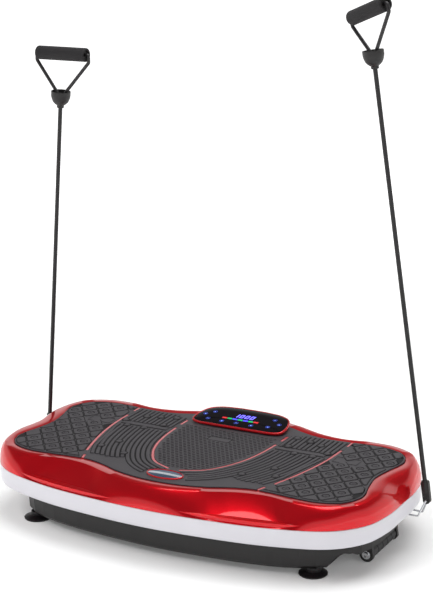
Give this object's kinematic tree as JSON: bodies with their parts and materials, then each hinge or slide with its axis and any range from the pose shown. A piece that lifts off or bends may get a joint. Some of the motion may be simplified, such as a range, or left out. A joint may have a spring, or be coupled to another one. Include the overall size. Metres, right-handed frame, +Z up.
{
  "type": "vibration plate",
  "caption": "Vibration plate with a glossy rocking platform, grooved rubber mat, display pod, transport roller and pull-up resistance bands with foam grips.",
  "frame": {"origin": "middle of the plate's footprint on the floor", "axes": "+Z up, +X along the plate towards the roller end, +Y towards the display"},
  "size_m": [0.8126, 0.452, 0.9441],
  "materials": {
    "red_shell": "high gloss metallic red",
    "white_band": "satin white",
    "black_plastic": "satin black",
    "mat_rubber": "moulded matt rubber",
    "soft_rubber": "smooth black rubber",
    "strap": "smooth black strap",
    "foam": "closed-cell foam",
    "steel": "plated steel",
    "dark_steel": "painted",
    "zinc": "zinc plated sheet",
    "circuit_board": "circuit board",
    "display_glass": "smoked glossy lens",
    "badge_metal": "blank metallic badge",
    "switch_red": "gloss"
  },
  "bodies": {
    "base": {"base_tray": "black_plastic", "chassis_plate": "zinc", "foot_front_left": "soft_rubber", "foot_front_right": "soft_rubber", "foot_rear_left": "soft_rubber", "foot_rear_right": "soft_rubber", "roller_axle": "steel", "axle_bolt_front": "steel", "axle_bolt_rear": "steel", "drive_motor": "dark_steel", "drive_belt": "soft_rubber", "bearing_block_front": "zinc", "bearing_block_rear": "zinc", "pivot_pedestal_front": "zinc", "pivot_pedestal_rear": "zinc", "pivot_shaft": "steel", "bump_stop_front_left": "soft_rubber", "bump_stop_front_right": "soft_rubber", "bump_stop_rear_left": "soft_rubber", "bump_stop_rear_right": "soft_rubber", "control_board": "circuit_board", "inlet_panel": "black_plastic"},
    "power_switch": {"power_switch": "switch_red"},
    "roller": {"transport_roller": "soft_rubber"},
    "crank": {"crankshaft": "steel", "crank_pulley": "dark_steel"},
    "motor_pulley": {"motor_pulley": "steel"},
    "platform": {"top_shell": "red_shell", "side_band": "white_band", "platform_frame": "zinc", "pivot_hanger_front": "zinc", "pivot_hanger_rear": "zinc", "rod_clevis": "zinc", "conrod_pin": "steel", "rubber_mat": "mat_rubber", "badge": "badge_metal", "display_bezel": "red_shell", "display_board": "circuit_board", "display_glass": "display_glass", "ring_bracket_left": "steel", "ring_bracket_right": "steel"},
    "rod": {"connecting_rod": "steel"},
    "swivel_left": {"ring_swivel_left": "steel"},
    "ring_left": {"pull_ring_left": "steel"},
    "band_left": {"band_clip_left": "black_plastic", "band_tube_left": "soft_rubber"},
    "handle_left": {"handle_cup_left": "black_plastic", "handle_strap_left": "strap", "grip_core_left": "black_plastic"},
    "foam_left": {"foam_grip_left": "foam"},
    "swivel_right": {"ring_swivel_right": "steel"},
    "ring_right": {"pull_ring_right": "steel"},
    "band_right": {"band_clip_right": "black_plastic", "band_tube_right": "soft_rubber"},
    "handle_right": {"handle_cup_right": "black_plastic", "handle_strap_right": "strap", "grip_core_right": "black_plastic"},
    "foam_right": {"foam_grip_right": "foam"}
  },
  "joints": [
    {"name": "power_switch_rock", "type": "hinge", "parent": "base", "child": "power_switch", "pos_m": [0.141, 0.187, 0.04], "axis": [1, 0, 0], "range_deg": [-9, 0]},
    {"name": "roller_spin", "type": "hinge", "parent": "base", "child": "roller", "pos_m": [0.337, 0, 0.015], "axis": [0, 1, 0], "continuous": true},
    {"name": "crank_spin", "type": "hinge", "parent": "base", "child": "crank", "pos_m": [0.1479, 0, 0.05], "axis": [0, 1, 0], "continuous": true},
    {"name": "motor_spin", "type": "hinge", "parent": "base", "child": "motor_pulley", "pos_m": [0.062, 0, 0.05], "axis": [0, 1, 0], "continuous": true},
    {"name": "platform_rock", "type": "hinge", "parent": "base", "child": "platform", "pos_m": [0, 0, 0.06], "axis": [0, 1, 0], "range_deg": [-0.8, 0.8], "stiffness_Nm_per_rad": 900},
    {"name": "rod_swing", "type": "hinge", "parent": "platform", "child": "rod", "pos_m": [0.15, 0, 0.086], "axis": [0, 1, 0], "range_deg": [0, 6.7]},
    {"name": "swivel_turn_left", "type": "hinge", "parent": "platform", "child": "swivel_left", "pos_m": [-0.371, 0.05, 0.0603], "axis": [0, 0, 1], "range_deg": [0, 80]},
    {"name": "ring_tilt_left", "type": "hinge", "parent": "swivel_left", "child": "ring_left", "pos_m": [-0.371, 0.05, 0.0603], "axis": [-0.8387, -0.5446, 0], "range_deg": [0, 25]},
    {"name": "band_tilt_left", "type": "hinge", "parent": "ring_left", "child": "band_left", "pos_m": [-0.396, 0.0885, 0.077], "axis": [-0.835, -0.5463, 0.0663], "range_deg": [-6, 60]},
    {"name": "band_stretch_left", "type": "slide", "parent": "band_left", "child": "handle_left", "axis": [0.0838, -0.0071, 0.9965], "range_m": [0, 0.35], "stiffness_N_per_m": 150},
    {"name": "foam_turn_left", "type": "hinge", "parent": "handle_left", "child": "foam_left", "pos_m": [-0.3345, 0.0842, 0.8116], "axis": [0.9981, -0.06, 0.01], "continuous": true},
    {"name": "swivel_turn_right", "type": "hinge", "parent": "platform", "child": "swivel_right", "pos_m": [0.371, 0.05, 0.0603], "axis": [0, 0, 1], "range_deg": [-30, 30]},
    {"name": "ring_tilt_right", "type": "hinge", "parent": "swivel_right", "child": "ring_right", "pos_m": [0.371, 0.05, 0.0603], "axis": [0, 1, 0], "range_deg": [0, 25]},
    {"name": "band_tilt_right", "type": "hinge", "parent": "ring_right", "child": "band_right", "pos_m": [0.403, 0.05, 0.0885], "axis": [0, 1, 0], "range_deg": [-6, 60]},
    {"name": "band_stretch_right", "type": "slide", "parent": "band_right", "child": "handle_right", "axis": [-0.1451, 0, 0.9894], "range_m": [0, 0.35], "stiffness_N_per_m": 150},
    {"name": "foam_turn_right", "type": "hinge", "parent": "handle_right", "child": "foam_right", "pos_m": [0.2823, 0.0503, 0.9163], "axis": [0.7809, -0.5469, 0.3019], "continuous": true}
  ],
  "couplings": [
    {"joint": "motor_spin", "follows": "crank_spin", "ratio": 2}
  ]
}
